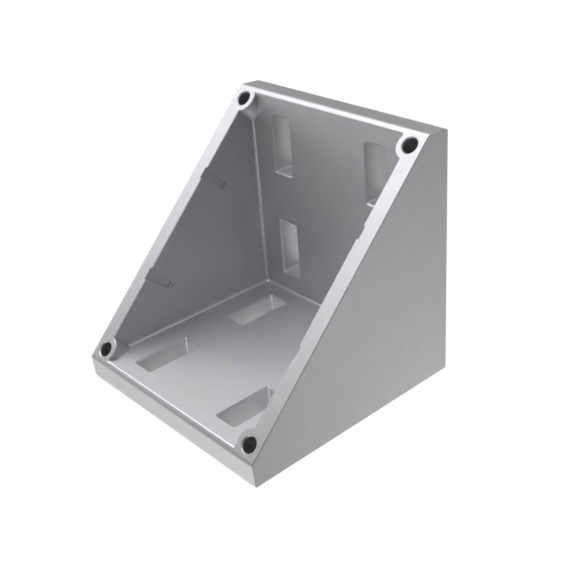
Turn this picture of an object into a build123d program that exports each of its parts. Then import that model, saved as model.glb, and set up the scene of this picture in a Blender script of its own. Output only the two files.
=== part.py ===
from build123d import *
import math
import os

# A cast aluminium corner bracket for slotted framing: two square legs at right angles, joined by two
# triangular side walls, with the sloped side between them open for a snap-in cover.
# Millimetres. X runs across the bracket, the base leg lies on z = 0 and the upright leg stands at +Y.

# Outside of the casting
width = 88.0                 # over both side walls
leg_length = 87.0            # from the heel to the end face, at the sloped rim
end_face = 8.6               # height of the square end of each leg
end_draft = 3.5              # degrees that an end face leans back towards the mounting face
edge_round = 0.25            # outer edges of the side walls
corner_round = 1.0           # outer corners of the side view, at the two mounting faces
tip_round = 2.0              # where an end face meets the sloped rim

# Walls of the casting
leg_thickness = 9.9
side_wall = 5.95             # at the rim
side_draft = 0.8             # degrees that a side wall thickens towards the heel
inside_fillet = 1.3          # between the walls and the legs
rim_chamfer = 0.25           # inner edge of the rim

# Slots for the fastening screws, two rows across and two along each leg
slot_width = 8.6
slot_length = 21.4
slot_corner = 0.5
slot_chamfer = 0.5           # where a slot opens inside the bracket
slot_pitch_across = 45.0     # the pitch of the frame's grooves
slot_clear_of_leg = 7.4      # from the inner face of the other leg to the first slot
slot_clear_of_end = 7.7      # from the last slot to the end of the leg

# Corner bosses with blind holes for the cover's pins
pin_hole_radius = 2.6
pin_hole_depth = 9.0
pin_hole_chamfer = 0.4
boss_wall = 2.4              # around a pin hole
boss_inset = 4.85            # from the side and from the end of the rim to the middle of a boss
boss_fillet = 0.5            # at the foot of a boss, on the wall and on the leg

# Notches in the side walls for the cover's clips
notch_spacing = 40.6         # between the two notches of a wall, along the slope
notch_mouth = 4.3            # width at the rim
notch_end = 2.4              # width at the bottom
notch_length = 12.4          # from the rim inwards
notch_depth = 0.9            # into the side wall
notch_step = 1.0             # length of the shallow stretch at the bottom
notch_step_depth = 0.3
notch_round = 0.3            # where the sides of a notch meet the rim

# Places that follow from the sizes above
margin = 1.0                 # how far a cutting shape stands out of the face that it opens
heel = (0, leg_length / 2, 0)
rim = Plane(origin=(0, -end_face / 2, (leg_length + end_face) / 2), x_dir=(1, 0, 0), z_dir=(0, -1, 1))
rim_length = (leg_length - end_face) * math.sqrt(2)
pocket_width = width - 2 * side_wall
boss_radius = pin_hole_radius + boss_wall
first_slot = leg_thickness + slot_clear_of_leg + slot_length / 2
last_slot = leg_length - slot_clear_of_end - slot_length / 2

# Each leg as seen from its mounting face: Y runs away from the heel and Z into the leg
base_leg = Plane(origin=heel, x_dir=(-1, 0, 0), z_dir=(0, 0, 1))
upright_leg = Plane(origin=heel, x_dir=(1, 0, 0), z_dir=(0, -1, 0))


def casting_block():
    """The outside: the bracket's side view across its width, with every outer edge rounded."""
    heel_y = leg_length / 2
    lean = end_face * math.tan(math.radians(end_draft))
    corners = [
        (heel_y, 0),
        (lean - heel_y, 0),
        (-heel_y, end_face),
        (heel_y - end_face, leg_length),
        (heel_y, leg_length - lean),
    ]
    radii = [corner_round, corner_round, tip_round, tip_round, corner_round]
    side_view = Plane.YZ * make_face(FilletPolyline(*corners, radius=radii, close=True))
    block = extrude(side_view, width / 2, both=True)
    return fillet(block.faces().filter_by(Axis.X).edges(), edge_round)


def edges_at_mouth(hollow):
    """The edges of a hollow's open end, which stands out of the rim by the margin."""
    return hollow.faces().sort_by(Axis(rim.origin, rim.z_dir))[-1].edges()


def space_over_legs():
    """The triangle between the inner faces of both legs and the rim, across the whole width."""
    inside_y = leg_length / 2 - leg_thickness
    reach = leg_length + end_face - 2 * leg_thickness + margin * math.sqrt(2)
    side_view = Polygon(
        (inside_y, leg_thickness),
        (inside_y, leg_thickness + reach),
        (inside_y - reach, leg_thickness),
        align=None,
    )
    return extrude(Plane.YZ * side_view, width / 2, both=True)


def space_between_walls():
    """The space between the side walls, which narrows from the rim towards the heel by their draft."""
    narrowing = math.tan(math.radians(side_draft))
    mouth = pocket_width / 2 + margin * narrowing
    bottom = pocket_width / 2 - leg_length * narrowing
    along_slope = Plane(origin=rim.origin, x_dir=rim.x_dir, z_dir=-rim.y_dir)
    end_view = Polygon(
        (-mouth, margin), (mouth, margin), (bottom, -leg_length), (-bottom, -leg_length), align=None
    )
    return extrude(along_slope * end_view, rim_length, both=True)


def boss_places():
    """The four corners of the rim, each seen along its hole."""
    spacing_x = width - 2 * boss_inset
    spacing_y = rim_length - 2 * boss_inset
    return rim * GridLocations(spacing_x, spacing_y, 2, 2)


def pocket():
    """The hollow of the casting, which the corner bosses stand into."""
    hollow = space_over_legs() & space_between_walls()
    hollow = fillet(hollow.edges() - edges_at_mouth(hollow), inside_fillet)
    hollow -= boss_places() * extrude(Circle(boss_radius), leg_length, both=True)
    boss_sides = hollow.faces().filter_by(lambda face: face.radius == boss_radius)
    return fillet(boss_sides.edges() - edges_at_mouth(hollow), boss_fillet)


def leg_slots(leg):
    """The four slots of one leg, cut from its mounting face into the pocket."""
    rows = GridLocations(slot_pitch_across, last_slot - first_slot, 2, 2)
    slot = extrude(RectangleRounded(slot_width, slot_length, slot_corner), leg_thickness + 2 * margin)
    return leg.offset(-margin) * Pos(0, (first_slot + last_slot) / 2) * rows * slot


def pin_holes():
    """Blind round holes down the corner bosses."""
    return boss_places() * extrude(Circle(pin_hole_radius), -pin_hole_depth)


def notch():
    """A tapering notch in the right side wall, shallower over its last stretch."""
    wall = Plane(origin=rim.origin, x_dir=rim.y_dir, z_dir=rim.x_dir).offset(pocket_width / 2 - margin)
    taper = (notch_mouth - notch_end) / notch_length

    def stretch(length, depth):
        mouth = notch_mouth / 2
        end = (notch_mouth - taper * length) / 2
        head = mouth + 2 * notch_round
        right = [(mouth, 0), (head, 0), (head, margin)]
        left = [(-head, margin), (-head, 0), (-mouth, 0)]
        outline = Polygon((-end, -length), (end, -length), *right, *left, align=None)
        rounded = outline.vertices().filter_by(lambda corner: abs(abs(corner.X) - mouth) < 0.001)
        return extrude(wall * fillet(rounded, notch_round), margin + depth)

    return stretch(notch_length, notch_step_depth) + stretch(notch_length - notch_step, notch_depth)


def clip_notches():
    """Two notches in each side wall, evenly placed about the middle of the slope."""
    step = rim.y_dir * (notch_spacing / 2)
    right = [Pos(*step) * notch(), Pos(*-step) * notch()]
    return right + [mirror(cut, about=Plane.YZ) for cut in right]


def leg_inner_face(part, leg):
    """The face of a leg that lies in the pocket."""
    def at_depth(face):
        return abs(leg.to_local_coords(face.center()).Z - leg_thickness) < 0.01

    level_faces = part.faces().filter_by(Axis(leg.origin, leg.z_dir))
    return level_faces.filter_by(at_depth).sort_by(SortBy.AREA)[-1]


def rim_outlines(part):
    """The inner outlines of the rim: the pocket's opening first, then the pin holes."""
    along_rim = Axis(rim.origin, rim.z_dir)
    rim_face = part.faces().filter_by(along_rim).sort_by(along_rim)[-1]
    return rim_face.inner_wires().sort_by(SortBy.LENGTH, reverse=True)


def bracket():
    """The whole casting, with its small edges finished last."""
    casting = casting_block() - pocket()
    for leg in (base_leg, upright_leg):
        casting -= leg_slots(leg)
        casting = chamfer(leg_inner_face(casting, leg).inner_wires().edges(), slot_chamfer)
    casting = chamfer(rim_outlines(casting)[0].edges(), rim_chamfer)
    casting -= clip_notches()
    casting -= pin_holes()
    return chamfer(rim_outlines(casting)[1:].edges(), pin_hole_chamfer)


casting = bracket()
os.makedirs("parts", exist_ok=True)
export_step(casting, "parts/bracket_casting.step")
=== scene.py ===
import math
import bpy
from mathutils import Matrix, Vector


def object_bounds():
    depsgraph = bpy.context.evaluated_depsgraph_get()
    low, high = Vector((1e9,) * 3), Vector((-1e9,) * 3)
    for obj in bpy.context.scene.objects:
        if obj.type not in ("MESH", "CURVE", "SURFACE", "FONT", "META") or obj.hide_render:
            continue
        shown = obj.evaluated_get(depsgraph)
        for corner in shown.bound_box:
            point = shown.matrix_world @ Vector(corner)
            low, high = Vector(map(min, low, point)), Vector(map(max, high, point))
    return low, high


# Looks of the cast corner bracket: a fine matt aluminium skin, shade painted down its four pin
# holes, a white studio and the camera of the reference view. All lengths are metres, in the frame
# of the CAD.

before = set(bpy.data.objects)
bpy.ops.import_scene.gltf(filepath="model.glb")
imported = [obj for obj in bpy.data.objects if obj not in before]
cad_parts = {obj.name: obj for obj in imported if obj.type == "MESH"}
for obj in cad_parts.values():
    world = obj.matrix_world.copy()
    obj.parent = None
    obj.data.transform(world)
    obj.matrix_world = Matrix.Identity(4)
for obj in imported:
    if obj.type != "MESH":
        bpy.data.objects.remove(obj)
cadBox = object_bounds()
print("frame loaded:", ", ".join(sorted(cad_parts)))


class Wire:
    # a number socket that can be added, multiplied and so on like a plain number
    def __init__(self, tree, socket):
        self.tree = tree
        self.socket = socket

    def maths(self, operation, *values):
        return self.tree.number("ShaderNodeMath", {"operation": operation}, dict(enumerate(values)))

    def __add__(self, other):
        return self.maths("ADD", self, other)

    def __radd__(self, other):
        return self.maths("ADD", other, self)

    def __sub__(self, other):
        return self.maths("SUBTRACT", self, other)

    def __rsub__(self, other):
        return self.maths("SUBTRACT", other, self)

    def __mul__(self, other):
        return self.maths("MULTIPLY", self, other)

    def __rmul__(self, other):
        return self.maths("MULTIPLY", other, self)

    def withoutSign(self):
        return self.maths("ABSOLUTE", self)

    def root(self):
        return self.maths("SQRT", self)

    def between(self, low, high):
        # 0 below low, 1 above high, and smooth from one to the other
        settings = {"interpolation_type": "SMOOTHSTEP"}
        sockets = {"Value": self, "From Min": low, "From Max": high}
        return self.tree.number("ShaderNodeMapRange", settings, sockets)


class Tree:
    # one node tree, with one way to add any node to it
    def __init__(self, owner):
        owner.use_nodes = True
        self.nodes = owner.node_tree.nodes
        self.links = owner.node_tree.links
        self.nodes.clear()

    def node(self, kind, settings, sockets):
        made = self.nodes.new(kind)
        for name, value in settings.items():
            setattr(made, name, value)
        for key, value in sockets.items():
            if isinstance(value, Wire):
                self.links.new(value.socket, made.inputs[key])
            elif isinstance(value, bpy.types.NodeSocket):
                self.links.new(value, made.inputs[key])
            else:
                made.inputs[key].default_value = value
        return made

    def number(self, kind, settings, sockets, output=0):
        return Wire(self, self.node(kind, settings, sockets).outputs[output])

    def xOf(self, vector):
        return self.number("ShaderNodeSeparateXYZ", {}, {"Vector": vector})


castSkin = {
    "dullColour": (0.64, 0.64, 0.659, 1.0),
    "brightColour": (0.70, 0.70, 0.721, 1.0),
    "mottleSize": 0.005,                 # of the patches between the two colours
    "mottleDetail": 4.0,
    "roughness": 0.5,
    "grainSize": 0.0006,                 # of the blasted skin
    "grainHeight": 0.00002,
    "grainDetail": 3.0,
    "grainStrength": 0.5,
    "cloudSize": 0.03,                   # of the slow changes in gloss
    "cloudDetail": 2.0,
    "cloudGloss": 0.03,                  # how much roughness they add or take, from end to end
}

pinHoleShade = {
    # painted shade: the darker grey laid down inside the pin holes
    "colour": (0.52, 0.52, 0.535, 1.0),
    "middle": (0, -0.0043, 0.0478),      # of the rim, between the four holes
    "outOfRim": (0, -0.70711, 0.70711),
    "upSlope": (0, 0.70711, 0.70711),
    "across": 0.03915,                   # from the middle to a hole, over the bracket
    "alongSlope": 0.05059,               # and up or down the slope
    "radius": 0.0029,                    # of the painted shade, with the foot of the broken edge
    "shadeFrom": 0.0003,                  # depths below the rim
    "shadeAt": 0.0005,
    "bottom": 0.0091,
    "softEdge": 1.02,                    # the painted shade ends between an edge and this many times as far
}


def pinHoleShadeMask(tree, place):
    # where shade is painted: 1 inside the four pin holes, 0 on the rest of the casting
    fromMiddle = tree.node(
        "ShaderNodeVectorMath", {"operation": "SUBTRACT"}, {0: place, 1: pinHoleShade["middle"]}
    )

    def along(name):
        sockets = {0: fromMiddle.outputs["Vector"], 1: pinHoleShade[name]}
        return tree.number("ShaderNodeVectorMath", {"operation": "DOT_PRODUCT"}, sockets, "Value")

    def within(distance, name):
        # 1 up to the named distance, 0 from a little past it
        return 1 - distance.between(pinHoleShade[name], pinHoleShade[name] * pinHoleShade["softEdge"])

    across = tree.xOf(place).withoutSign() - pinHoleShade["across"]
    alongSlope = along("upSlope").withoutSign() - pinHoleShade["alongSlope"]
    fromAxis = (across * across + alongSlope * alongSlope).root()
    depth = 0 - along("outOfRim")
    belowRim = depth.between(pinHoleShade["shadeFrom"], pinHoleShade["shadeAt"])
    return within(fromAxis, "radius") * within(depth, "bottom") * belowRim


def castMaterial(node):
    # the skin of the whole casting, with shade painted down the pin holes
    skin = bpy.data.materials.new("castAluminium")
    tree = Tree(skin)
    place = tree.node("ShaderNodeTexCoord", {}, {}).outputs["Object"]

    def noise(size, detail):
        sockets = {"Vector": place, "Scale": 1 / castSkin[size], "Detail": castSkin[detail]}
        return tree.number("ShaderNodeTexNoise", {}, sockets)

    clouds = noise("cloudSize", "cloudDetail")
    roughness = castSkin["roughness"] + castSkin["cloudGloss"] * (clouds - 0.5)
    bump = tree.node("ShaderNodeBump", {}, {
        "Height": noise("grainSize", "grainDetail"),
        "Distance": castSkin["grainHeight"],
        "Strength": castSkin["grainStrength"],
    })
    skinColour = tree.node("ShaderNodeMix", {"data_type": "RGBA"}, {
        "Factor": noise("mottleSize", "mottleDetail"),
        6: castSkin["dullColour"],       # its sockets A and B for colours
        7: castSkin["brightColour"],
    })
    # painted shade: the skin's colour turns to a darker grey inside the pin holes
    colour = tree.node("ShaderNodeMix", {"data_type": "RGBA"}, {
        "Factor": pinHoleShadeMask(tree, place),
        6: skinColour.outputs[2],        # its colour result
        7: pinHoleShade["colour"],
    })
    shader = tree.node("ShaderNodeBsdfPrincipled", {}, {
        "Base Color": colour.outputs[2],
        "Metallic": 1.0,
        "Roughness": roughness,
        "Normal": bump.outputs["Normal"],
    })
    tree.node("ShaderNodeOutputMaterial", {}, {"Surface": shader.outputs["BSDF"]})
    for slot in node.material_slots:
        slot.material = skin


castMaterial(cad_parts["bracket_casting"])
print("casting dressed")


studio = {
    "floorSize": 6.0,
    "floorGap": 0.0002,                  # below the part, so that the two don't lie in one plane
    "white": 1.0,                        # of the floor, and of the sky that the camera sees
    "ambient": 0.0,                      # of the sky that lights the part
    "boxDistance": 1.2,
    "boxWidth": 0.75,
    # name, azimuth round the part, elevation, watts
    "boxes": [
        ("top", 0, 90, 3.0),
        ("highFront", 0, 62, 2.2),
        ("highLeft", -60, 62, 2.9),
        ("highBackLeft", -120, 62, 2.3),
        ("highBack", 180, 62, 0.8),
        ("left", -72, 35, 2.5),
        ("backLeft", -108, 35, 0.7),
        ("frontRight", 36, 35, 1.1),
        ("backRight", 144, 35, 1.9),
        ("frontLeft", -45, 8, 0.6),
        ("back", -165, 8, 3.0),
        ("lowFront", 0, -22, 2.4),
        ("lowFrontLeft", -33, -22, 0.4),
        ("lowLeft", -65, -22, 1.4),
        ("lowBackLeft", -98, -22, 0.8),
        ("lowRight", 131, -22, 1.0),
        ("lowBackRight", 164, -22, 0.5),
        ("underFront", 0, -52, 1.7),
        ("underLeft", -51, -52, 1.7),
        ("underRight", 51, -52, 3.7),
        ("underBack", 154, -52, 2.2),
        ("underneath", 0, -88, 1.5),
    ],
}


def direction(azimuth, elevation):
    # from the part towards a lamp; azimuth 0 lies at -Y and 90 at +X
    a, e = math.radians(azimuth), math.radians(elevation)
    return Vector((math.sin(a) * math.cos(e), -math.cos(a) * math.cos(e), math.sin(e)))


def studioFloor():
    # a white sheet that only a camera above it sees, so that it throws no light of its own
    half, z = studio["floorSize"] / 2, -studio["floorGap"]
    corners = [(-half, -half, z), (half, -half, z), (half, half, z), (-half, half, z)]
    mesh = bpy.data.meshes.new("floor")
    mesh.from_pydata(corners, [], [(0, 1, 2, 3)])
    floor = bpy.data.objects.new("floor", mesh)
    bpy.context.scene.collection.objects.link(floor)
    floor.visible_diffuse = False
    floor.visible_glossy = False
    floor.visible_shadow = False
    paper = bpy.data.materials.new("paper")
    tree = Tree(paper)
    glow = tree.node("ShaderNodeEmission", {}, {"Strength": studio["white"]})
    clear = tree.node("ShaderNodeBsdfTransparent", {}, {})
    sheet = tree.node("ShaderNodeMixShader", {}, {
        0: tree.node("ShaderNodeNewGeometry", {}, {}).outputs["Backfacing"],
        1: glow.outputs["Emission"],
        2: clear.outputs["BSDF"],
    })
    tree.node("ShaderNodeOutputMaterial", {}, {"Surface": sheet.outputs["Shader"]})
    mesh.materials.append(paper)


def studioLight():
    # soft round boxes that all look at the middle of the part
    middle = (cadBox[0] + cadBox[1]) / 2
    for name, azimuth, elevation, watts in studio["boxes"]:
        lamp = bpy.data.lights.new(name, "AREA")
        lamp.shape = "DISK"
        lamp.size = studio["boxWidth"]
        lamp.energy = watts
        box = bpy.data.objects.new(name, lamp)
        bpy.context.scene.collection.objects.link(box)
        towards = direction(azimuth, elevation)
        box.location = middle + towards * studio["boxDistance"]
        box.rotation_mode = "QUATERNION"
        box.rotation_quaternion = towards.to_track_quat("Z", "Y")
        box.visible_camera = False


def studioWorld():
    # white where the camera looks past the floor
    world = bpy.data.worlds.new("studio")
    bpy.context.scene.world = world
    tree = Tree(world)
    seen = tree.number("ShaderNodeLightPath", {}, {}, "Is Camera Ray")
    strength = studio["ambient"] + seen * (studio["white"] - studio["ambient"])
    sky = tree.node("ShaderNodeBackground", {}, {"Color": (1, 1, 1, 1), "Strength": strength})
    tree.node("ShaderNodeOutputWorld", {}, {"Surface": sky.outputs["Background"]})


studioFloor()
studioLight()
studioWorld()
bpy.context.scene.view_settings.view_transform = "Standard"
print("studio lit")


shot = {
    "azimuth": 50.43,
    "elevation": 28.36,
    "roll": -4.72,
    "lens": 60.51,                       # mm, as the sensor is
    "sensor": 36.0,
    "nearest": 0.01,                     # that the camera sees
    "distance": 0.31389,
    "target": (0, 0, 0.0435),
    "shiftRight": 0.008715,              # of the camera, off the line to the target
    "shiftDown": 0.007108,
}


def studioCamera():
    # the reference view: turned round the target, then moved a little within its own picture plane
    lens = bpy.data.cameras.new("camera")
    lens.sensor_width = shot["sensor"]
    lens.lens = shot["lens"]
    lens.clip_start = shot["nearest"]
    camera = bpy.data.objects.new("camera", lens)
    bpy.context.scene.collection.objects.link(camera)
    turn = (
        Matrix.Rotation(math.radians(shot["azimuth"]), 4, "Z")
        @ Matrix.Rotation(math.radians(90 - shot["elevation"]), 4, "X")
        @ Matrix.Rotation(math.radians(shot["roll"]), 4, "Z")
    )
    offset = Vector((shot["shiftRight"], -shot["shiftDown"], shot["distance"]))
    camera.matrix_world = Matrix.Translation(Vector(shot["target"]) + turn @ offset) @ turn
    bpy.context.scene.camera = camera


studioCamera()
print("camera set")
